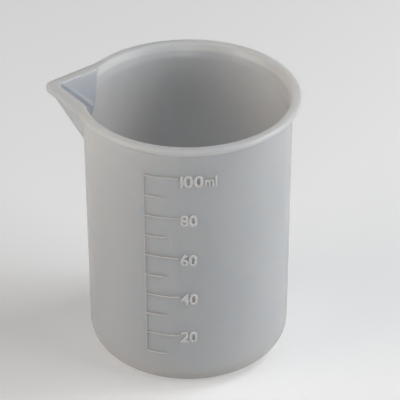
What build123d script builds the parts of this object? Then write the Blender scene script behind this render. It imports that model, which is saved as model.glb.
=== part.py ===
"""Mixing cup: a soft moulded measuring beaker with a drawn-out pouring spout.

The cup stands on z = 0 with its axis on Z.  The spout points along -X and the raised scale faces -Y.
The cup is one moulding, so its outside form and its bore are made first and cut from each other, and
the named regions are then parted from it: base, wall, spout and lip meet face to face.  The marks of
the scale stand on the wall.  All sizes are in millimetres, and angles are in degrees.
"""
import os
from math import asin, atan, cos, degrees, pi, radians, sin

from build123d import *

# ---------------------------------------------------------------- driving dimensions
# beaker
cup_height = 70.0
foot_radius = 24.9          # outside of the wall, carried down to the table
mouth_radius = 25.4         # outside of the wall, just under the lip
wall_thickness = 1.4        # measured level
floor_thickness = 4.3
heel_radius = 6.3           # outside corner between wall and underside
bore_heel_radius = 4.9      # inside corner between wall and floor
base_rim = 0.6              # how far the base region reaches above the floor

# lip round the mouth
lip_overhang = 2.05         # how far the lip stands out from the wall
lip_height = 1.7            # thickness of the lip, measured upright
lip_neck = 1.8              # flared length of wall under the lip
lip_flare = 1.1             # how much wider the bore is at the top than it would be without its flare
flare_round = 4.0           # bend where the bore starts to flare
lip_edge_round = 0.6        # outside edges of the lip
lip_crown_round = 0.9       # inside edge of the lip
lip_root_round = 0.4        # hollow between the underside of the lip and the wall
lip_joint_round = 12.0      # where the lip's round turns into its straight sides

# pouring spout
spout_length = 9.2          # how far the nose of the lip stands out from the round of the mouth
spout_nose_radius = 2.7     # nose of the lip, seen from above
spout_overhang = 1.2        # how far the lip stands out from the spout's side walls
spout_inset = 0.2           # how far the spout's sides pass inside the round of the mouth
spout_drop = 14.4           # underside of the lip down to the toe of the keel, where it leaves the wall
keel_round = 0.9            # outside edge of the keel
prow_blend = 1.2            # hollow where the spout's sides leave the wall
channel_lip = 3.1           # width of the lip beside the pouring channel
channel_drop = 14.4         # top of the lip down to where the channel's sides run out in the bore
channel_foot_radius = 8.2   # channel's corner where its floor leaves the bore
channel_tip_radius = 0.6    # channel's corner at the nose, at the top of the lip
channel_blend = 1.5         # rounded ridge where the bore turns into the channel
spout_setback = 5.9         # round of the mouth to the upright plane that parts the spout from the wall
spout_apron = 3.0           # wall that belongs to the spout below its toe

# raised scale on the front
mark_step_ml = 10           # volume between two marks
scale_headroom = 5.0        # at least this much bare wall between the highest mark and the lip
mark_width = 0.5            # upright width of a mark
mark_rise = 0.3             # how far a mark stands out of the wall
mark_edge_round = 0.12      # outer edges of a mark
spine_width = 0.45
spine_rise = 0.2
spine_azimuth = -107.0      # start of the spine, counter-clockwise from +X seen from above
long_mark_length = 8.3
short_mark_length = 5.1

# ---------------------------------------------------------------- values worked out from them
past = 1.0                                    # cutters and joins run this far past a face
hair = 0.001                                  # faces and corners closer than this are at one height
mm3_per_ml = 1000
lip_seat = cup_height - lip_height            # underside of the lip
neck_seat = lip_seat - lip_neck               # where the lip region starts
wall_seat = floor_thickness + base_rim        # where the base region ends and the wall starts
wall_slope = (mouth_radius - foot_radius) / lip_seat

lip_radius = mouth_radius + lip_overhang
spout_reach = mouth_radius + spout_length     # cup axis to the nose of the lip
spout_side = mouth_radius - spout_inset       # cup axis to the spout's outer sides, under the lip
lip_side = spout_side + spout_overhang        # cup axis to the straight sides of the lip
half_angle = asin((lip_side - spout_nose_radius) / (spout_reach - spout_nose_radius))
nose_set_back = 1 / sin(half_angle) - 1       # sharp apex to rounded nose, per unit of radius
prow_toe = lip_seat - spout_drop
keel_slope = (spout_side / sin(half_angle) - mouth_radius) / spout_drop + wall_slope


def wall_radius(z):
    """Outside radius of the wall at height z."""
    return foot_radius + wall_slope * z


def bore_radius(z):
    """Inside radius of the wall at height z."""
    return wall_radius(z) - wall_thickness


def prow_side(z):
    """Level distance from the cup's axis to the spout's outer side faces."""
    return spout_side - keel_slope * sin(half_angle) * (lip_seat - z)


def channel_lean():
    """How fast the sharp line between the channel's sides leaves the bore, going up."""
    return ((lip_side - channel_lip) / sin(half_angle) - bore_radius(cup_height)) / channel_drop


def channel_side(z):
    """Level distance from the cup's axis to the side faces of the pouring channel."""
    channel_slope = channel_lean() + wall_slope
    return lip_side - channel_lip - channel_slope * sin(half_angle) * (cup_height - z)


def channel_foot():
    """Height where the rounded floor of the pouring channel leaves the bore."""
    floor_at_top = channel_side(cup_height) / sin(half_angle) - nose_set_back * channel_foot_radius
    return cup_height - (floor_at_top - bore_radius(cup_height)) / channel_lean()


def channel_round(z):
    """Corner radius of the channel: wide where it leaves the bore, tight at the nose."""
    share = (z - channel_foot()) / (cup_height + past - channel_foot())
    return channel_foot_radius + share * (channel_tip_radius - channel_foot_radius)


def spout_plan(z, side, nose):
    """Plan of the spout: two straight sides that meet in a rounded nose, closed inside the cup."""
    foot_x = -side * sin(half_angle)
    foot_y = side * cos(half_angle)
    with BuildSketch(Plane.XY.offset(z)) as plan:
        with BuildLine():
            FilletPolyline((foot_x, foot_y), (-side / sin(half_angle), 0), (foot_x, -foot_y), radius=nose)
            Line((foot_x, -foot_y), (foot_x, foot_y))
        make_face()
    return plan.sketch


def level_face(form, z):
    """The largest level face of a form at height z."""
    level_faces = form.faces().filter_by(Plane.XY).filter_by_position(Axis.Z, z - hair, z + hair)
    return level_faces.sort_by(SortBy.AREA)[-1]


def mark_height(volume_ml):
    """Height up to which the bore holds the stated volume."""
    heel_area = (1 - pi / 4) * bore_heel_radius**2
    heel_centroid = bore_radius(floor_thickness) - 0.2234 * bore_heel_radius
    heel_volume = heel_area * 2 * pi * heel_centroid
    low = bore_radius(floor_thickness)
    z = floor_thickness
    for _ in range(8):
        high = bore_radius(z)
        mean_area = pi * (low * low + low * high + high * high) / 3
        z = floor_thickness + (mm3_per_ml * volume_ml + heel_volume) / mean_area
    return z


def mark_volumes():
    """The volumes that the scale shows, in ml: as many whole steps as fit below the lip."""
    volumes = [mark_step_ml]
    while mark_height(volumes[-1] + mark_step_ml) < neck_seat - scale_headroom:
        volumes.append(volumes[-1] + mark_step_ml)
    return volumes


def wall_angle(length, z):
    """Angle about the cup's axis that a length on the wall takes up."""
    return degrees(length / wall_radius(z))


def upright_plane(azimuth):
    """Plane through the cup's axis: its x runs outwards and its y runs up."""
    turn = radians(azimuth)
    return Plane(origin=(0, 0, 0), x_dir=(cos(turn), sin(turn), 0), z_dir=(sin(turn), -cos(turn), 0))


# ---------------------------------------------------------------- outside form of the moulding
with BuildPart() as outside:
    # beaker with its rounded heel
    with BuildSketch(Plane.XZ) as beaker_profile:
        with BuildLine():
            Polyline(
                (0, 0),
                (foot_radius, 0),
                (wall_radius(lip_seat), lip_seat),
                (0, lip_seat),
                close=True,
            )
        make_face()
        fillet(beaker_profile.vertices().group_by(Axis.Y)[0].sort_by(Axis.X)[-1], heel_radius)
    revolve(axis=Axis.Z)
    # prow of the spout, from inside the wall below its toe up to the lip
    prow_start = prow_toe - past
    add(spout_plan(prow_start, prow_side(prow_start), keel_round))
    add(spout_plan(lip_seat, prow_side(lip_seat), keel_round))
    loft(ruled=True)
    fillet(outside.edges(Select.NEW).filter_by(Plane.XY, reverse=True), prow_blend)
    # lip: a flat ring that follows the mouth and the spout
    with BuildSketch(Plane.XY.offset(lip_seat)) as lip_plan:
        Circle(lip_radius)
        add(spout_plan(0, lip_side, spout_nose_radius))
        fillet(lip_plan.vertices().group_by(Axis.X)[1], lip_joint_round)
    extrude(amount=lip_height)
    fillet(level_face(outside, cup_height).outer_wire().edges(), lip_edge_round)
    fillet(level_face(outside, lip_seat).outer_wire().edges(), lip_edge_round)
    fillet(level_face(outside, lip_seat).inner_wires()[0].edges(), lip_root_round)

# ---------------------------------------------------------------- bore with its pouring channel
with BuildPart() as bore:
    flare_slope = wall_slope + lip_flare / (cup_height - neck_seat)
    with BuildSketch(Plane.XZ) as bore_profile:
        with BuildLine():
            Polyline(
                (0, floor_thickness),
                (bore_radius(floor_thickness), floor_thickness),
                (bore_radius(neck_seat), neck_seat),
                (bore_radius(cup_height) + lip_flare + flare_slope * past, cup_height + past),
                (0, cup_height + past),
                close=True,
            )
        make_face()
        fillet(bore_profile.vertices().group_by(Axis.Y)[0].sort_by(Axis.X)[-1], bore_heel_radius)
        flare_corner = bore_profile.vertices().filter_by_position(Axis.Y, neck_seat - hair, neck_seat + hair)
        fillet(flare_corner, flare_round)
    revolve(axis=Axis.Z)
    channel_start = channel_foot() - past
    channel_end = cup_height + past
    add(spout_plan(channel_start, channel_side(channel_start), channel_round(channel_start)))
    add(spout_plan(channel_end, channel_side(channel_end), channel_round(channel_end)))
    loft(ruled=True)
    fillet(bore.edges(Select.NEW).filter_by(Plane.XY, reverse=True), channel_blend)

# ---------------------------------------------------------------- the moulding, before it is parted
with BuildPart() as moulding:
    add(outside.part)
    add(bore.part, mode=Mode.SUBTRACT)
    fillet(level_face(moulding, cup_height).inner_wires()[0].edges(), lip_crown_round)

os.makedirs("parts", exist_ok=True)

# ---------------------------------------------------------------- floor and heel
with BuildPart() as cup_base:
    add(moulding.part)
    split(bisect_by=Plane.XY.offset(wall_seat), keep=Keep.BOTTOM)
cup_base.part.label = "cup_base"
export_step(cup_base.part, "parts/cup_base.step")

# ---------------------------------------------------------------- spout
with BuildPart() as pour_spout:
    add(moulding.part)
    split(bisect_by=Plane.XY.offset(neck_seat), keep=Keep.BOTTOM)
    split(bisect_by=Plane.XY.offset(prow_toe - spout_apron), keep=Keep.TOP)
    split(bisect_by=Plane.YZ.offset(spout_setback - mouth_radius), keep=Keep.BOTTOM)
pour_spout.part.label = "pour_spout"
export_step(pour_spout.part, "parts/pour_spout.step")

# ---------------------------------------------------------------- side wall
with BuildPart() as cup_wall:
    add(moulding.part)
    split(bisect_by=Plane.XY.offset(neck_seat), keep=Keep.BOTTOM)
    split(bisect_by=Plane.XY.offset(wall_seat), keep=Keep.TOP)
    add(pour_spout.part, mode=Mode.SUBTRACT)
cup_wall.part.label = "cup_wall"
export_step(cup_wall.part, "parts/cup_wall.step")

# ---------------------------------------------------------------- lip
with BuildPart() as rim_lip:
    add(moulding.part)
    split(bisect_by=Plane.XY.offset(neck_seat), keep=Keep.TOP)
rim_lip.part.label = "rim_lip"
export_step(rim_lip.part, "parts/rim_lip.step")

# ---------------------------------------------------------------- raised scale
scale_volumes = mark_volumes()
spine_top = mark_height(scale_volumes[-1])
mark_azimuth = spine_azimuth + wall_angle(spine_width, spine_top)


def raised_band(low, high, rise, azimuth, length):
    """A band on the wall between two heights, drawn round the wall from an azimuth."""
    with BuildPart() as band:
        with BuildSketch(upright_plane(azimuth)) as section:
            with BuildLine():
                FilletPolyline(
                    (wall_radius(low), low),
                    (wall_radius(low) + rise, low),
                    (wall_radius(high) + rise, high),
                    (wall_radius(high), high),
                    radius=mark_edge_round,
                )
                Line((wall_radius(high), high), (wall_radius(low), low))
            make_face()
        revolve(axis=Axis.Z, revolution_arc=wall_angle(length, low))
    return band.part


with BuildPart() as scale_spine:
    low, high = mark_height(scale_volumes[0]) - mark_width / 2, spine_top + mark_width / 2
    add(raised_band(low, high, spine_rise, spine_azimuth, spine_width))
scale_spine.part.label = "scale_spine"
export_step(scale_spine.part, "parts/scale_spine.step")

with BuildPart() as scale_long_marks:
    for volume in scale_volumes[1::2]:
        middle = mark_height(volume)
        low, high = middle - mark_width / 2, middle + mark_width / 2
        add(raised_band(low, high, mark_rise, mark_azimuth, long_mark_length))
scale_long_marks.part.label = "scale_long_marks"
export_step(scale_long_marks.part, "parts/scale_long_marks.step")

with BuildPart() as scale_short_marks:
    for volume in scale_volumes[0::2]:
        middle = mark_height(volume)
        low, high = middle - mark_width / 2, middle + mark_width / 2
        add(raised_band(low, high, mark_rise, mark_azimuth, short_mark_length))
scale_short_marks.part.label = "scale_short_marks"
export_step(scale_short_marks.part, "parts/scale_short_marks.step")

pieces = (cup_base, cup_wall, pour_spout, rim_lip, scale_spine, scale_long_marks, scale_short_marks)
for piece in pieces:
    print(piece.part.label, "volume", round(piece.part.volume, 1))
print("keel leans", round(degrees(atan(keel_slope)), 1), "degrees from upright")
print("channel leaves the bore at z", round(channel_foot(), 2))
print("marks at z", [round(mark_height(volume), 2) for volume in scale_volumes])
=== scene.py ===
# %% [markdown]
# # A silicone mixing cup, dressed in Blender
#
# The real cup is one soft moulding of milky silicone: a round beaker with a thick floor, a flat lip, a
# V-shaped pouring spout drawn out of the wall, and a raised scale in millilitres with its numerals.
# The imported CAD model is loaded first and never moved. It says how large everything is, and what is
# modelled here fits it.

# %% Load the frame and read its sizes
import math

import bpy
import bmesh
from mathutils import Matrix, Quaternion, Vector


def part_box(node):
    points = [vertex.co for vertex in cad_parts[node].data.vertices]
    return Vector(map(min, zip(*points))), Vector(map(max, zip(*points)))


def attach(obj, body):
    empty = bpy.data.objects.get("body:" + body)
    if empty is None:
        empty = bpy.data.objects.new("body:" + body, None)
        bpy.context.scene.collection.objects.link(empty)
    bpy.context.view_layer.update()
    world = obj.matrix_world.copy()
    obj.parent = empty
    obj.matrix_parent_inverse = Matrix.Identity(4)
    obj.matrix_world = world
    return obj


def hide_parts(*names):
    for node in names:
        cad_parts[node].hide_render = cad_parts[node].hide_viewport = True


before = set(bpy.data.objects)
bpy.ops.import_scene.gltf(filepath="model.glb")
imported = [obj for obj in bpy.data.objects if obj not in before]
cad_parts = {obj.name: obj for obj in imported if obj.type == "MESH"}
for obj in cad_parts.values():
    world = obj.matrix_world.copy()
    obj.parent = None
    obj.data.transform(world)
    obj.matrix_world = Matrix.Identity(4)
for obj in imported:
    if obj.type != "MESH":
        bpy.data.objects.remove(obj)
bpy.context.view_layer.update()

MM = 0.001
lip_low, lip_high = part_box("rim_lip")

cup_height = lip_high.z
neck_seat = lip_low.z                       # where the bore starts to flare
lip_radius = lip_high.y
spout_reach = -lip_low.x
wall_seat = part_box("cup_base")[1].z         # a little above the floor of the cup
print("cup height", round(cup_height / MM, 2), "lip radius", round(lip_radius / MM, 2),
      "spout reach", round(spout_reach / MM, 2), "mm")

# %% [markdown]
# ## Sizes of the moulding
#
# A moulding is described by a few sizes: how thick the wall and floor are, how round the corners are, and
# how the spout leans. They are real sizes in millimetres, so a maker could check them with callipers. The
# thickness of the wall and of the floor can't be seen, so the two are set to make the raised scale true.

# %% Name the sizes of the beaker, the lip and the spout
lip_height = 1.7 * MM
lip_seat = cup_height - lip_height
lip_overhang = 2.05 * MM
lip_flare = 1.1 * MM
flare_round = 4 * MM
lip_edge_round = 0.6 * MM
lip_crown_round = 0.9 * MM
lip_root_round = 0.4 * MM
lip_joint_round = 12 * MM

mouth_radius = lip_radius - lip_overhang
foot_radius = 24.9 * MM
wall_thickness = 1.4 * MM
base_rim = 0.6 * MM                         # how far the base piece reaches above the floor
floor_thickness = wall_seat - base_rim
heel_radius = 6.3 * MM
bore_heel_radius = 4.9 * MM
wall_slope = (mouth_radius - foot_radius) / lip_seat

spout_nose_radius = 2.7 * MM
spout_inset = 0.2 * MM
spout_overhang = 1.2 * MM
spout_drop = 14.4 * MM
spout_side = mouth_radius - spout_inset     # cup axis to the spout's outer sides, under the lip
lip_side = spout_side + spout_overhang      # cup axis to the straight sides of the lip
prow_toe = lip_seat - spout_drop            # where the keel leaves the wall
keel_round = 0.9 * MM
prow_blend = 1.2 * MM
channel_lip = 3.1 * MM                      # width of the lip beside the pouring channel
channel_drop = 14.4 * MM                    # top of the lip down to where the channel's sides run out
channel_foot_radius = 8.2 * MM
channel_tip_radius = 0.6 * MM
channel_blend = 1.5 * MM
half_angle = math.asin((lip_side - spout_nose_radius) / (spout_reach - spout_nose_radius))
keel_slope = (spout_side / math.sin(half_angle) - mouth_radius) / (lip_seat - prow_toe) + wall_slope
flare_slope = wall_slope + lip_flare / (cup_height - neck_seat)
print("spout half angle", round(math.degrees(half_angle), 1), "degrees")


# %% Work out the wall, the bore and the spout at any height
def wall_radius(z):
    """Outside radius of the round wall at height z."""
    return foot_radius + wall_slope * z


def bore_radius(z):
    """Inside radius of the round wall at height z, with the flare under the lip."""
    flare = max(0.0, z - neck_seat) * (flare_slope - wall_slope)
    return wall_radius(z) - wall_thickness + flare


def prow_side(z):
    """Level distance from the cup's axis to the spout's outer side faces."""
    return spout_side - keel_slope * math.sin(half_angle) * (lip_seat - z)


straight_bore_at_top = wall_radius(cup_height) - wall_thickness
channel_lean = ((lip_side - channel_lip) / math.sin(half_angle) - straight_bore_at_top) / channel_drop


def channel_side(z):
    """Level distance from the cup's axis to the side faces of the pouring channel."""
    return lip_side - channel_lip - (channel_lean + wall_slope) * math.sin(half_angle) * (cup_height - z)


nose_set_back = 1 / math.sin(half_angle) - 1
channel_floor_at_top = channel_side(cup_height) / math.sin(half_angle) - nose_set_back * channel_foot_radius
channel_foot = cup_height - (channel_floor_at_top - straight_bore_at_top) / channel_lean


channel_top = cup_height + 1 * MM           # the channel is tightest a little above the lip
channel_least_round = 0.3 * MM


def channel_round(z):
    """Corner radius of the channel: wide where it leaves the bore, tight at the nose."""
    share = (z - channel_foot) / (channel_top - channel_foot)
    return max(channel_least_round, channel_foot_radius + share * (channel_tip_radius - channel_foot_radius))


print("keel leaves the wall at", round(prow_toe / MM, 1), "mm, channel leaves the bore at",
      round(channel_foot / MM, 1), "mm")

# %% [markdown]
# ## The plan of a spout
#
# Seen from above, each level slice of the cup is a circle with a V drawn out of it. One function gives
# that outline as a distance from the axis in every direction. The same function serves the wall, the
# channel and the lip, each with its own sizes, so their straight sides are parallel seen from above.


# %% Describe a level slice: a circle joined to a rounded V
def wedge_distance(turn, side, nose):
    """Distance from the axis to a V whose straight sides lie at one distance from it; turn is from -X."""
    turn = abs(turn)
    normal_turn = math.pi / 2 - half_angle
    centre = (side - nose) / math.sin(half_angle)
    tangent_turn = math.atan2(nose * math.cos(half_angle), centre + nose * math.sin(half_angle))
    if turn < tangent_turn:
        return centre * math.cos(turn) + math.sqrt(nose**2 - (centre * math.sin(turn)) ** 2)
    return side / math.cos(min(turn, normal_turn) - normal_turn)


def slice_distance(turn, circle, side, nose, blend):
    """Distance from the axis to a circle with a V drawn out of it and a hollow where the two meet."""
    wedge = wedge_distance(turn, side, nose)
    crossing = math.acos(min(1.0, side / circle))
    reach = blend * crossing**2 / 2
    overlap = max(reach - abs(wedge - circle), 0) / reach if reach > 0 else 0
    return max(wedge, circle) + overlap**2 * reach / 4


nose_distance = slice_distance(0, lip_radius, lip_side, spout_nose_radius, lip_joint_round)
print("lip reaches", round(nose_distance / MM, 2), "mm from the axis at its nose")

# %% [markdown]
# ## Drawing the profile
#
# A cup is turned like a pot: its cross-section is drawn once and spun round the axis. The section starts
# as a single point under the floor and is extruded from corner to corner, up the outside, over the lip
# and down the bore. Each corner is then rounded with a vertex bevel, because a mould's corners are round.


# %% Helpers for modelling as by hand
def only(obj):
    """Makes an object the active one and the only one that is selected."""
    bpy.ops.object.select_all(action="DESELECT")
    obj.select_set(True)
    bpy.context.view_layer.objects.active = obj


def pick(obj, test):
    """In edit mode, selects the vertices that pass a test on their place, and the edges between them."""
    bpy.ops.mesh.select_all(action="DESELECT")
    mesh = bmesh.from_edit_mesh(obj.data)
    for vertex in [vertex for vertex in mesh.verts if test(vertex.co)]:
        vertex.select_set(True)
    for edge in [edge for edge in mesh.edges if all(vertex.select for vertex in edge.verts)]:
        edge.select_set(True)
    bmesh.update_edit_mesh(obj.data)


def near(point, reach=0.02 * MM):
    """A test that only a vertex at this place passes."""
    return lambda co: (co - point).length < reach


# %% Extrude the section from corner to corner
rows_low = prow_toe - 3 * MM                # below this height the wall is plain
corners = [
    (0, 0),
    (foot_radius, 0),
    (wall_radius(rows_low), rows_low),
    (wall_radius(lip_seat), lip_seat),
    (lip_radius, lip_seat),
    (lip_radius, cup_height),
    (bore_radius(cup_height), cup_height),
    (bore_radius(neck_seat), neck_seat),
    (bore_radius(rows_low), rows_low),
    (bore_radius(floor_thickness), floor_thickness),
    (0, floor_thickness),
]
bpy.ops.object.select_all(action="DESELECT")
bpy.ops.mesh.primitive_plane_add(size=1 * MM)
cup = bpy.context.object
cup.name = "silicone_cup"
bpy.ops.object.mode_set(mode="EDIT")
bpy.ops.mesh.select_mode(type="VERT")
bpy.ops.mesh.select_all(action="SELECT")
bpy.ops.mesh.merge(type="CENTER")
for (r0, z0), (r1, z1) in zip(corners, corners[1:]):
    bpy.ops.mesh.extrude_region_move(TRANSFORM_OT_translate={"value": (r1 - r0, 0, z1 - z0)})
print("section drawn with", len(bmesh.from_edit_mesh(cup.data).verts), "corners")


# %% Round the corners of the section
def corner_turn(before, corner, after):
    """Angle by which the section turns at a corner."""
    come = Vector(corner) - Vector(before)
    leave = Vector(after) - Vector(corner)
    return come.angle(leave)


rounds = {                                  # which corner: its radius and segments
    1: (heel_radius, 20),
    3: (lip_root_round, 7),
    4: (lip_edge_round, 8),
    5: (lip_edge_round, 8),
    6: (lip_crown_round, 12),
    7: (flare_round, 5),
    9: (bore_heel_radius, 16),
}
for index, (radius, segments) in rounds.items():
    r, z = corners[index]
    turn = corner_turn(*corners[index - 1:index + 2])
    pick(cup, near(Vector((r, 0, z))))
    bpy.ops.mesh.bevel(offset=radius * math.tan(turn / 2), segments=segments, profile=0.5, affect="VERTICES")
print("rounded section has", len(bmesh.from_edit_mesh(cup.data).verts), "points")


# %% Cut the long edges, closely where the spout will be drawn out
def cut_edges(obj, low, high, cuts, inner, outer):
    """Subdivides the edges whose ends lie between two heights and two radii."""
    slack = 0.01 * MM
    pick(obj, lambda co: low - slack <= co.z <= high + slack and inner <= co.x <= outer)
    bpy.ops.mesh.subdivide(number_cuts=cuts)


past_all = 2 * mouth_radius                 # wider than anything
margin = 0.1 * MM                           # room between a limit and the points that it takes in
flare_margin = 0.5 * MM                     # just past the rounded start of the flare
heel_top = 0.95 * heel_radius               # just under the top of the heel's rounding
bore_heel_top = floor_thickness + 0.9 * bore_heel_radius
crown_low = cup_height - lip_crown_round / 2
cut_plan = {                                # where: lowest, highest, cuts, inner limit, outer limit
    "upper wall": (rows_low, lip_seat - lip_root_round, 30, wall_radius(rows_low) - margin, past_all),
    "upper bore": (rows_low, neck_seat - flare_margin, 26, 0, bore_radius(rows_low) + 4 * margin),
    "flare": (neck_seat + flare_margin, crown_low, 5, 0, bore_radius(lip_seat) + 6 * margin),
    "lower wall": (heel_top, rows_low, 9, wall_radius(0) - margin, past_all),
    "lower bore": (bore_heel_top, rows_low, 9, 0, bore_radius(rows_low) + 2 * margin),
    "underside": (0, 0, 5, 0, foot_radius - heel_radius + margin),
    "floor": (floor_thickness, floor_thickness, 5, 0, bore_radius(0) - bore_heel_radius + margin),
}
for limits in cut_plan.values():
    cut_edges(cup, *limits)
print("section has", len(bmesh.from_edit_mesh(cup.data).verts), "points to spin, cut at:", list(cut_plan))

# %% Spin the section round the axis
bpy.ops.mesh.select_all(action="SELECT")
bpy.ops.mesh.spin(steps=360, angle=2 * math.pi, center=(0, 0, 0), axis=(0, 0, 1))
bpy.ops.mesh.select_all(action="SELECT")
bpy.ops.mesh.remove_doubles(threshold=0.002 * MM)
bpy.ops.mesh.normals_make_consistent(inside=False)
bpy.ops.object.mode_set(mode="OBJECT")
print("round cup has", len(cup.data.polygons), "faces")

# %% [markdown]
# ## Drawing out the spout
#
# The spout has a keen keel, so it needs many more points near its centre line than the round wall does.
# First the upright rows of points are gathered towards the spout, then every point is pushed out to the
# slice of its own height: the outside to the prow, the bore to the channel, and the lip to its own line.

# %% Push every point out to its slice
gather = 0.16                               # spacing of the rows at the spout, against an even spacing
lip_middle = lip_radius - 1.0 * MM          # on the lip, the bore's points lie inside this
tiny = 0.02 * MM


def drawn_out(turn, r, z):
    """New distance from the axis of a point of the round cup."""
    if z < rows_low:
        return r
    between = lip_middle if z > lip_seat + tiny else (bore_radius(z) + wall_radius(z)) / 2
    if r < between:
        grown = max(0.0, r - bore_radius(z)) if z > cup_height - 2 * lip_crown_round else 0.0
        return slice_distance(turn, r, channel_side(z) + grown, channel_round(z) + grown, channel_blend)
    on_wall = z < lip_seat - tiny or r < wall_radius(z) + lip_root_round + tiny
    if on_wall:
        grown = max(0.0, r - wall_radius(z))
        return slice_distance(turn, r, prow_side(z) + grown, keel_round + grown, prow_blend)
    inset = lip_radius - r
    return slice_distance(turn, r, lip_side - inset, spout_nose_radius - inset, lip_joint_round)


for vertex in cup.data.vertices:
    x, y, z = vertex.co
    r = math.hypot(x, y)
    if r < tiny:
        continue
    share = math.atan2(y, -x) / math.pi
    turn = math.pi * (gather * share + (1 - gather) * share**3)
    r = drawn_out(turn, r, z)
    vertex.co = (-r * math.cos(turn), r * math.sin(turn), z)
cup.data.update()
only(cup)
bpy.ops.object.shade_smooth()
print("nose of the lip at", round(min(v.co.x for v in cup.data.vertices) / MM, 2), "mm")

# %% [markdown]
# ## Raised numerals
#
# The cup carries plain numbers in millilitres beside its long marks. They are raised a little from the
# wall, as if cut into the mould. Each is typed as a text object, made a mesh, and then wrapped on the wall.

# %% Type the numerals and wrap them on the wall
marks_low, marks_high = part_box("scale_long_marks")
numeral_height = 3.0 * MM
numeral_rise = 0.18 * MM
numeral_sink = 0.15 * MM                    # how deep a numeral is rooted in the wall
numeral_drop = 0.3 * MM                     # how far a numeral's middle lies below its mark
mark_end_turn = math.radians(-86.6)         # azimuth just past the end of the long marks
mark_count = 5
half_mark = 0.25 * MM                       # half the upright width of a mark
highest_mark = marks_high.z - half_mark
lowest_mark = marks_low.z + half_mark
font_height_ratio = 1.4                     # size of the typeface over the height of its digits
stroke_growth = 0.02 * MM
stroke_bevel = 0.1 * MM


def typed(label, name, wide=1.0, tall=1.0):
    """A label as a flat mesh that stands on the origin's line, with its width and height adjusted."""
    bpy.ops.object.select_all(action="DESELECT")
    bpy.ops.object.text_add()
    text = bpy.context.object
    text.name = name
    text.data.body = label
    text.data.size = numeral_height * font_height_ratio
    text.data.offset = stroke_growth
    text.data.extrude = (numeral_rise + numeral_sink) / 2
    text.data.bevel_depth = stroke_bevel
    text.data.bevel_resolution = 2
    text.data.resolution_u = 6
    text.data.align_y = "BOTTOM_BASELINE"
    bpy.ops.object.convert(target="MESH")
    text = bpy.context.object
    text.scale = (wide, tall, 1)
    bpy.ops.object.transform_apply(location=False, rotation=False, scale=True)
    return text


def wrapped(piece, start, foot):
    """Bends a flat label round the wall; it starts an arc length past the marks, at its baseline's height."""
    low = min(vertex.co.x for vertex in piece.data.vertices)
    lift = (numeral_rise - numeral_sink) / 2
    for vertex in piece.data.vertices:
        z = foot + vertex.co.y
        r = wall_radius(z) + lift + vertex.co.z
        turn = mark_end_turn + (start + vertex.co.x - low) / wall_radius(z)
        vertex.co = (r * math.cos(turn), r * math.sin(turn), z)
    piece.data.update()
    return piece


# %% [markdown]
# The top label is wider than the others, and its letters stand closer than the typeface sets them. It is
# therefore typed in three pieces, each with its own start round the wall and its own width and height.

# %% Place a label beside each long mark
top_label_drop = 0.42 * MM
top_label = [                               # text, name, start, lift, width, height
    ("1", "numeral_100_one", 0.2 * MM, 0, 1.0, 1.0),
    ("00", "numeral_100_zeros", 0.85 * MM, 0, 1.14, 1.03),
    ("ml", "unit_ml", 5.85 * MM, 0.12 * MM, 0.77, 0.88),
]
numerals = []
for step in range(mark_count):
    volume = 20 * (mark_count - step)
    height = highest_mark - step * (highest_mark - lowest_mark) / (mark_count - 1)
    foot = height - numeral_drop - numeral_height / 2
    if volume < 100:
        numerals.append(wrapped(typed(str(volume), "numeral_" + str(volume), wide=0.98), 0.08 * MM, foot))
        continue
    for label, name, start, lift, wide, tall in top_label:
        numerals.append(wrapped(typed(label, name, wide, tall), start, foot - top_label_drop + lift))
print("numerals:", [piece.name for piece in numerals])

# %% [markdown]
# ## Materials
#
# The cup is milky silicone: light goes in, scatters, and comes out nearby, so the wall has no hard
# shadows and its thin edges glow. A Principled shader with subsurface scattering does this, and some
# transmission lets light through the wall. What makes it look moulded and not computed is small: soft
# clouds where the silicone is denser, a fine matt grain from the mould, and faint upright lines left by
# polishing the mould. One node group makes the clouds and another the grain and the lines. The body and
# the scale share both, each with its own values. A third group, for the body alone, tones its thick
# places and paints light and shade: a painted highlight on the lip and a painted shade in the spout.

# %% A helper for shader groups
def new_group(name, inputs, outputs):
    """A shader node group with named inputs and outputs; returns the group and its two end nodes."""
    group = bpy.data.node_groups.new(name, "ShaderNodeTree")
    for label, kind, value in inputs:
        socket = group.interface.new_socket(name=label, in_out="INPUT", socket_type=kind)
        socket.default_value = value
    for label, kind in outputs:
        group.interface.new_socket(name=label, in_out="OUTPUT", socket_type=kind)
    return group, group.nodes.new("NodeGroupInput"), group.nodes.new("NodeGroupOutput")


FLOAT, COLOR, VECTOR = "NodeSocketFloat", "NodeSocketColor", "NodeSocketVector"


def noise(group, place, scale, detail):
    """A noise texture in a group, read at a place, with its grain in features per metre."""
    texture = group.nodes.new("ShaderNodeTexNoise")
    texture.inputs["Scale"].default_value = scale
    texture.inputs["Detail"].default_value = detail
    group.links.new(place, texture.inputs["Vector"])
    return texture.outputs["Fac"]


def math_node(group, operation, first, second):
    """A Math node; each of its two inputs is a socket or a number."""
    node = group.nodes.new("ShaderNodeMath")
    node.operation = operation
    for socket, value in zip(node.inputs, (first, second)):
        if isinstance(value, (int, float)):
            socket.default_value = value
        else:
            group.links.new(value, socket)
    return node.outputs[0]


def blend_colors(group, mask, first, second):
    """A colour between two others, by a mask from 0 to 1."""
    node = group.nodes.new("ShaderNodeMix")
    node.data_type = "RGBA"
    group.links.new(mask, node.inputs["Factor"])
    group.links.new(first, node.inputs["A"])
    group.links.new(second, node.inputs["B"])
    return node.outputs["Result"]


# %% [markdown]
# ### Milky clouds
#
# Silicone is mixed from two parts and poured or injected, so its milkiness is never quite even. Two
# noises do it: clouds of about 30 mm, and a finer curdle of about 4 mm at a third of the strength. The
# result slides between a denser and a clearer tone of the same material.

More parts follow.
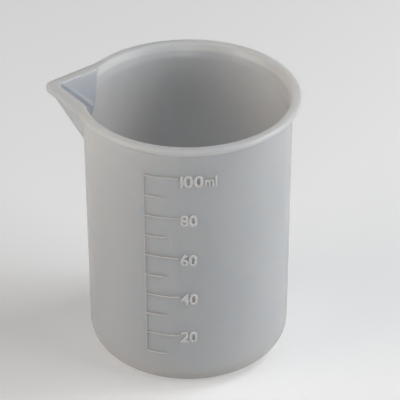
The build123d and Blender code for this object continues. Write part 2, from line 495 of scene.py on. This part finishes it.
# %% Build the group of milky clouds
clouds, clouds_in, clouds_out = new_group(
    "milky_clouds",
    [("Place", VECTOR, (0, 0, 0)), ("Dense Tone", COLOR, (1, 1, 1, 1)), ("Clear Tone", COLOR, (1, 1, 1, 1))],
    [("Color", COLOR)])
broad = noise(clouds, clouds_in.outputs["Place"], 32, 2)
curdle = noise(clouds, clouds_in.outputs["Place"], 260, 3)
mixed = math_node(clouds, "ADD", math_node(clouds, "MULTIPLY", broad, 1.5),
                  math_node(clouds, "MULTIPLY", curdle, 0.5))
density = math_node(clouds, "SUBTRACT", mixed, 0.5)
density.node.use_clamp = True
cloud_color = blend_colors(clouds, density, clouds_in.outputs["Clear Tone"], clouds_in.outputs["Dense Tone"])
clouds.links.new(cloud_color, clouds_out.inputs["Color"])
print("milky_clouds has", len(clouds.nodes), "nodes")

# %% [markdown]
# ### Mould skin
#
# A matt mould leaves a fine grain, here about a quarter of a millimetre across, on slow waves of about
# 8 mm. Polishing a mould up and down leaves faint upright lines, so a third noise of about 1 mm is read
# from a place that is squeezed along Z, which draws it out upwards. The lines run over the whole body,
# inside and out. The group gives a height for a Bump node and a roughness that follows the waves: their
# hollows are a little glossier than their crests.

# %% Build the group of the mould's skin
skin, skin_in, skin_out = new_group(
    "mould_skin",
    [("Place", VECTOR, (0, 0, 0)), ("Grain", FLOAT, 1.0), ("Polish Lines", FLOAT, 1.0),
     ("Hollow Roughness", FLOAT, 0.4), ("Crest Roughness", FLOAT, 0.5)],
    [("Height", FLOAT), ("Roughness", FLOAT)])
fine_grain = noise(skin, skin_in.outputs["Place"], 4200, 2)
waves = noise(skin, skin_in.outputs["Place"], 120, 2)
squeeze = skin.nodes.new("ShaderNodeMapping")
squeeze.inputs["Scale"].default_value = (1, 1, 0.03)
skin.links.new(skin_in.outputs["Place"], squeeze.inputs["Vector"])
lines = noise(skin, squeeze.outputs["Vector"], 1100, 3)
grain_height = math_node(skin, "MULTIPLY", fine_grain, skin_in.outputs["Grain"])
line_height = math_node(skin, "MULTIPLY", lines, skin_in.outputs["Polish Lines"])
height = math_node(skin, "ADD", math_node(skin, "ADD", grain_height, line_height),
                   math_node(skin, "MULTIPLY", waves, 4.0))
skin.links.new(height, skin_out.inputs["Height"])
by_wave = skin.nodes.new("ShaderNodeMapRange")
by_wave.inputs["From Min"].default_value = 0.3
by_wave.inputs["From Max"].default_value = 0.7
skin.links.new(waves, by_wave.inputs["Value"])
skin.links.new(skin_in.outputs["Hollow Roughness"], by_wave.inputs["To Min"])
skin.links.new(skin_in.outputs["Crest Roughness"], by_wave.inputs["To Max"])
skin.links.new(by_wave.outputs["Result"], skin_out.inputs["Roughness"])
print("mould_skin has", len(skin.nodes), "nodes")


# %% [markdown]
# ### Thick places, painted light and painted shade
#
# Milky silicone looks whiter and warmer the thicker it is, because more of the light is scattered back,
# and a thin wall looks cooler and greyer. The lip is a solid bead: its whiter, warmer tone is partly that,
# and partly a painted highlight for the light that falls on its flat top. The floor is three times as
# thick as the wall, and the cup is toned warmer and a little darker towards the bottom. The inside of the
# spout gets a painted shade: it is bluer and darker than the wall beside it.
# Nothing here measures a thickness. The group only reads the place on the piece, and for the spout which
# way the surface faces, and paints a tone there, so the painted light and shade stay the same in any light.

# %% Build the group of thick places, painted light and painted shade
tones_and_light_group, tones_in, tones_out = new_group(
    "thick_places_and_painted_light",
    [("Place", VECTOR, (0, 0, 0)), ("Thin Color", COLOR, (1, 1, 1, 1)), ("Lip Tone And Painted Light", COLOR, (1, 1, 1, 1)),
     ("Floor Tone", COLOR, (1, 1, 1, 1)), ("Channel Painted Shade", COLOR, (1, 1, 1, 1))],
    [("Color", COLOR)])
split_place = tones_and_light_group.nodes.new("ShaderNodeSeparateXYZ")
tones_and_light_group.links.new(tones_in.outputs["Place"], split_place.inputs["Vector"])


def soft_mask(group, value, none_at, full_at):
    """A mask that goes smoothly from 0 to 1 while a value goes between two limits."""
    ramp = group.nodes.new("ShaderNodeMapRange")
    ramp.interpolation_type = "SMOOTHSTEP"
    ramp.inputs["From Min"].default_value = none_at
    ramp.inputs["From Max"].default_value = full_at
    group.links.new(value, ramp.inputs["Value"])
    return ramp.outputs["Result"]


# The lip: partly the thick bead's own whiter tone, partly a painted highlight on its flat top.
in_lip = soft_mask(tones_and_light_group, split_place.outputs["Z"], lip_seat - 0.5 * MM, lip_seat + 0.5 * MM)
# Towards the bottom the tone turns warmer and a little darker.
in_floor = soft_mask(tones_and_light_group, split_place.outputs["Z"], wall_seat + 4 * MM, 0)
# Painted shade in the spout: a mask of the channel's inner faces, found by place and by which way they face.
out_at_spout = soft_mask(tones_and_light_group, split_place.outputs["X"], -bore_radius(channel_foot) + 0.9 * MM,
                         -bore_radius(channel_foot) + 0.2 * MM)
split_normal = tones_and_light_group.nodes.new("ShaderNodeSeparateXYZ")
tones_and_light_group.links.new(tones_and_light_group.nodes.new("ShaderNodeNewGeometry").outputs["Normal"],
                    split_normal.inputs["Vector"])
up_limits = (0.16, 0.30)                    # the channel's faces look a little up
in_limits = (0.30, 0.55)                    # and well in, away from the nose
faces_up = soft_mask(tones_and_light_group, split_normal.outputs["Z"], *up_limits)
faces_in = soft_mask(tones_and_light_group, split_normal.outputs["X"], *in_limits)
faces_channel = math_node(tones_and_light_group, "MULTIPLY", faces_up, faces_in)
channel_shade_mask = math_node(tones_and_light_group, "MULTIPLY", out_at_spout, faces_channel)
with_channel_shade = blend_colors(tones_and_light_group, channel_shade_mask, tones_in.outputs["Thin Color"],
                            tones_in.outputs["Channel Painted Shade"])
lip_light_mask = math_node(tones_and_light_group, "MULTIPLY", in_lip, math_node(tones_and_light_group, "SUBTRACT", 1.0, channel_shade_mask))
with_lip_light = blend_colors(tones_and_light_group, lip_light_mask, with_channel_shade, tones_in.outputs["Lip Tone And Painted Light"])
tones_and_light_group.links.new(blend_colors(tones_and_light_group, in_floor, with_lip_light, tones_in.outputs["Floor Tone"]),
                    tones_out.inputs["Color"])
print("thick_places_and_painted_light has", len(tones_and_light_group.nodes), "nodes")

# %% [markdown]
# ### The silicone itself
#
# The body lets a third of the light straight through, softened by its roughness. The raised marks and
# numerals are the same silicone on the real cup. Here they have tones of their own, chosen beside
# the photograph: their sharp edges catch light, so the marks and their spine are toned below the body, or
# they would stand out more than they should. The numerals are toned a little above it. All of them are
# thin, so only a little of their light scatters inside them, and none goes straight through.

# %% Set the looks that every silicone shares
silicone_ior = 1.41
coat_weight = 0.35
coat_roughness = 0.13
scatter_color = (1.0, 0.84, 0.7)
scatter_depth = 5.5 * MM
grain_depth = 0.02 * MM
roughness_spread = 0.05


def silicone_material(name, dense, clear, inner_glow, clearness, grain, lines, roughness):
    """Milky silicone with clouds and a moulded skin."""
    material = bpy.data.materials.new(name)
    material.use_nodes = True
    tree = material.node_tree
    shader = tree.nodes["Principled BSDF"]
    shader.inputs["IOR"].default_value = silicone_ior
    shader.inputs["Coat Weight"].default_value = coat_weight
    shader.inputs["Coat Roughness"].default_value = coat_roughness
    shader.inputs["Subsurface Weight"].default_value = inner_glow
    shader.inputs["Transmission Weight"].default_value = clearness
    shader.inputs["Subsurface Radius"].default_value = scatter_color
    shader.inputs["Subsurface Scale"].default_value = scatter_depth
    place = tree.nodes.new("ShaderNodeTexCoord")
    place.name = "place"
    cloudy = tree.nodes.new("ShaderNodeGroup")
    cloudy.name = "clouds"
    cloudy.node_tree = clouds
    cloudy.inputs["Dense Tone"].default_value = (*dense, 1)
    cloudy.inputs["Clear Tone"].default_value = (*clear, 1)
    skinned = tree.nodes.new("ShaderNodeGroup")
    skinned.node_tree = skin
    skinned.inputs["Grain"].default_value = grain
    skinned.inputs["Polish Lines"].default_value = lines
    skinned.inputs["Hollow Roughness"].default_value = roughness - roughness_spread
    skinned.inputs["Crest Roughness"].default_value = roughness + roughness_spread
    bump = tree.nodes.new("ShaderNodeBump")
    bump.inputs["Distance"].default_value = grain_depth
    bump.inputs["Strength"].default_value = 1.0
    tree.links.new(place.outputs["Object"], cloudy.inputs["Place"])
    tree.links.new(place.outputs["Object"], skinned.inputs["Place"])
    tree.links.new(cloudy.outputs["Color"], shader.inputs["Base Color"])
    tree.links.new(skinned.outputs["Roughness"], shader.inputs["Roughness"])
    tree.links.new(skinned.outputs["Height"], bump.inputs["Height"])
    tree.links.new(bump.outputs["Normal"], shader.inputs["Normal"])
    return material


# %% Mix the silicone of the body, and tone its thick places, with painted light on the lip and painted shade in the spout
body_silicone = silicone_material("body_silicone", dense=(0.71, 0.715, 0.72), clear=(0.65, 0.665, 0.68),
                                  inner_glow=1.0, clearness=0.35, grain=1.0, lines=0.8, roughness=0.42)
body_tree = body_silicone.node_tree
tones_and_light_node = body_tree.nodes.new("ShaderNodeGroup")
tones_and_light_node.node_tree = tones_and_light_group
# Lip tone: partly the thick bead's own whiteness, partly a painted highlight on its top.
tones_and_light_node.inputs["Lip Tone And Painted Light"].default_value = (0.98, 0.94, 0.89, 1)
# Floor tone: warmer and a little darker towards the bottom.
tones_and_light_node.inputs["Floor Tone"].default_value = (0.66, 0.63, 0.60, 1)
# The spout's channel tone is a painted shade, bluer and darker than the wall beside it.
tones_and_light_node.inputs["Channel Painted Shade"].default_value = (0.40, 0.44, 0.49, 1)
body_tree.links.new(body_tree.nodes["place"].outputs["Object"], tones_and_light_node.inputs["Place"])
body_tree.links.new(body_tree.nodes["clouds"].outputs["Color"], tones_and_light_node.inputs["Thin Color"])
body_tree.links.new(tones_and_light_node.outputs["Color"], body_tree.nodes["Principled BSDF"].inputs["Base Color"])
print("body_silicone has", len(body_tree.nodes), "nodes")

# %% Mix the silicone of the scale
raised = {"inner_glow": 0.1, "clearness": 0.0, "grain": 0.6, "lines": 0.0}
mark_silicone = silicone_material("mark_silicone", dense=(0.63, 0.61, 0.60), clear=(0.59, 0.575, 0.565),
                                  roughness=0.42, **raised)
numeral_silicone = silicone_material("numeral_silicone", dense=(0.76, 0.75, 0.74), clear=(0.71, 0.70, 0.69),
                                     roughness=0.42, **raised)
spine_silicone = silicone_material("spine_silicone", dense=(0.59, 0.575, 0.57), clear=(0.55, 0.54, 0.54),
                                   roughness=0.45, **raised)
print("scale materials:", [material.name for material in (mark_silicone, numeral_silicone, spine_silicone)])

# %% [markdown]
# ### Dressing
#
# The cup's body and the numerals are meshes of this file, so their material is simply added. The spine and
# the marks are the CAD model's own pieces: their shapes stay as they are, and only their finish changes.

# %% Dress the pieces
cup.data.materials.append(body_silicone)
for piece in numerals:
    piece.data.materials.clear()
    piece.data.materials.append(numeral_silicone)
cad_finishes = {"scale_spine": spine_silicone, "scale_long_marks": mark_silicone,
                "scale_short_marks": mark_silicone}
for node, finish in cad_finishes.items():
    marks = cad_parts[node]
    marks.data.materials.clear()
    marks.data.materials.append(finish)
print("dressed", 1 + len(numerals) + len(cad_finishes), "pieces")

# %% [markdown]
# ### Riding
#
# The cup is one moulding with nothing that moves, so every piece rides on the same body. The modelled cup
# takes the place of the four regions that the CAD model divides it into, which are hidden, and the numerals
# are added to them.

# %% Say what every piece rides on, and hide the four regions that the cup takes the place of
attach(cup, "root")
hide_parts("cup_base", "cup_wall", "pour_spout", "rim_lip")
for piece in numerals:
    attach(piece, "root")
print("riding on root:", 1 + len(numerals), "pieces")

# %% [markdown]
# ## Studio
#
# A translucent cup shows whatever is around it, so the studio is kept plain: a pale floor and four soft
# lamps. A warm one stands low at the left and a neutral one at the right, so the flanks are brighter than
# the front and the inside. A weak cool one shines from the front and another from high at the right and a
# little behind. None shines straight at the cup's back, so the back is dark. The floor and the air look
# pale to the eye, in reflections and through the silicone, but bounce less light on the cup. A Light Path
# node makes that difference.

# %% Lay a pale floor
bpy.ops.object.select_all(action="DESELECT")
bpy.ops.mesh.primitive_plane_add(size=6)
ground = bpy.context.object
ground.name = "studio_floor"


def seen_directly(tree):
    """1 for rays from the eye, from a reflection or through the silicone, and 0 for light that bounces."""
    path = tree.nodes.new("ShaderNodeLightPath")
    either = math_node(tree, "MAXIMUM", path.outputs["Is Camera Ray"], path.outputs["Is Glossy Ray"])
    return math_node(tree, "MAXIMUM", either, path.outputs["Is Transmission Ray"])


floor_paint = bpy.data.materials.new("floor_paint")
floor_paint.use_nodes = True
floor_tree = floor_paint.node_tree
floor_shader = floor_tree.nodes["Principled BSDF"]
floor_glow = 0.22
floor_shader.inputs["Roughness"].default_value = 0.8
floor_shader.inputs["Emission Color"].default_value = (1, 1, 1, 1)
floor_tones = floor_tree.nodes.new("ShaderNodeMix")
floor_tones.data_type = "RGBA"
floor_tones.inputs["A"].default_value = (0.16, 0.16, 0.16, 1)
floor_tones.inputs["B"].default_value = (0.88, 0.88, 0.885, 1)
seen = seen_directly(floor_tree)
floor_tree.links.new(seen, floor_tones.inputs["Factor"])
glow = math_node(floor_tree, "MULTIPLY", seen, floor_glow)
floor_tree.links.new(glow, floor_shader.inputs["Emission Strength"])
floor_tree.links.new(floor_tones.outputs["Result"], floor_shader.inputs["Base Color"])
ground.data.materials.append(floor_paint)
print("floor laid:", ground.name)


# %% Hang the soft lamps
def softbox(name, place, aim, size, power, color=(1, 1, 1)):
    """A square soft lamp that shines from a place at a point."""
    data = bpy.data.lights.new(name, "AREA")
    data.shape = "SQUARE"
    data.size = size
    data.energy = power
    data.color = color
    lamp = bpy.data.objects.new(name, data)
    bpy.context.scene.collection.objects.link(lamp)
    lamp.location = place
    lamp.rotation_euler = (Vector(aim) - Vector(place)).to_track_quat("-Z", "Y").to_euler()


middle = Vector((0, 0, cup_height / 2))
softbox("left_softbox", (-0.60, -0.34, 0.12), middle, size=0.5, power=3.8, color=(1.0, 0.92, 0.85))
softbox("right_softbox", (0.66, -0.08, 0.18), middle, size=0.5, power=3.8)
softbox("front_softbox", (0.10, -0.75, 0.05), middle, size=0.3, power=1.4, color=(0.90, 0.96, 1.0))
softbox("high_softbox", (0.46, 0.18, 0.64), middle, size=0.3, power=1.8, color=(0.95, 0.98, 1.0))

# %% Fill the air
air_on_cup = 0.055                          # strength of the air's own light on the cup
air_to_eye = 0.75                           # how bright the air looks
world = bpy.data.worlds.new("studio_air")
bpy.context.scene.world = world
world.use_nodes = True
air = world.node_tree
air_strength = air.nodes.new("ShaderNodeMapRange")
air_strength.inputs["To Min"].default_value = air_on_cup
air_strength.inputs["To Max"].default_value = air_to_eye
air.links.new(seen_directly(air), air_strength.inputs["Value"])
air.links.new(air_strength.outputs["Result"], air.nodes["Background"].inputs["Strength"])
air.nodes["Background"].inputs["Color"].default_value = (1, 1, 1, 1)

# %% [markdown]
# ## Camera
#
# The view was worked out from the photograph: a camera 0.59 m away that looks 32.5 degrees down, a little
# turned and shifted, so the cup falls on the same pixels. Its numbers belong to the cup's stated height.

# %% Set up the camera
view_azimuth = math.radians(-82)
view_elevation = math.radians(32.5)
view_distance = 591.98 * MM
frame_width_px = 400
focal_px = 2384.3
camera_roll = math.radians(-0.247)
sensor_width = 36
shift_right_px = 11.6
shift_up_px = 15.6
camera_data = bpy.data.cameras.new("photo_camera")
camera = bpy.data.objects.new("photo_camera", camera_data)
bpy.context.scene.collection.objects.link(camera)
bpy.context.scene.camera = camera
outwards = Vector((math.cos(view_azimuth) * math.cos(view_elevation),
                   math.sin(view_azimuth) * math.cos(view_elevation), math.sin(view_elevation)))
camera.location = middle + view_distance * outwards
turned = (-outwards).to_track_quat("-Z", "Y")
camera.rotation_euler = (turned @ Quaternion((0, 0, 1), camera_roll)).to_euler()
camera_data.sensor_width = sensor_width
camera_data.lens = sensor_width * focal_px / frame_width_px
camera_data.shift_x = shift_right_px / frame_width_px
camera_data.shift_y = shift_up_px / frame_width_px
camera_data.clip_start = 10 * MM
print("camera at", [round(value, 3) for value in camera.location], "m")

# %% [markdown]
# ## Colour
#
# The Standard view shows each colour about as it was written. What is modelled here must not grow past the
# real size.

# %% Set the view
bpy.context.scene.view_settings.view_transform = "Standard"
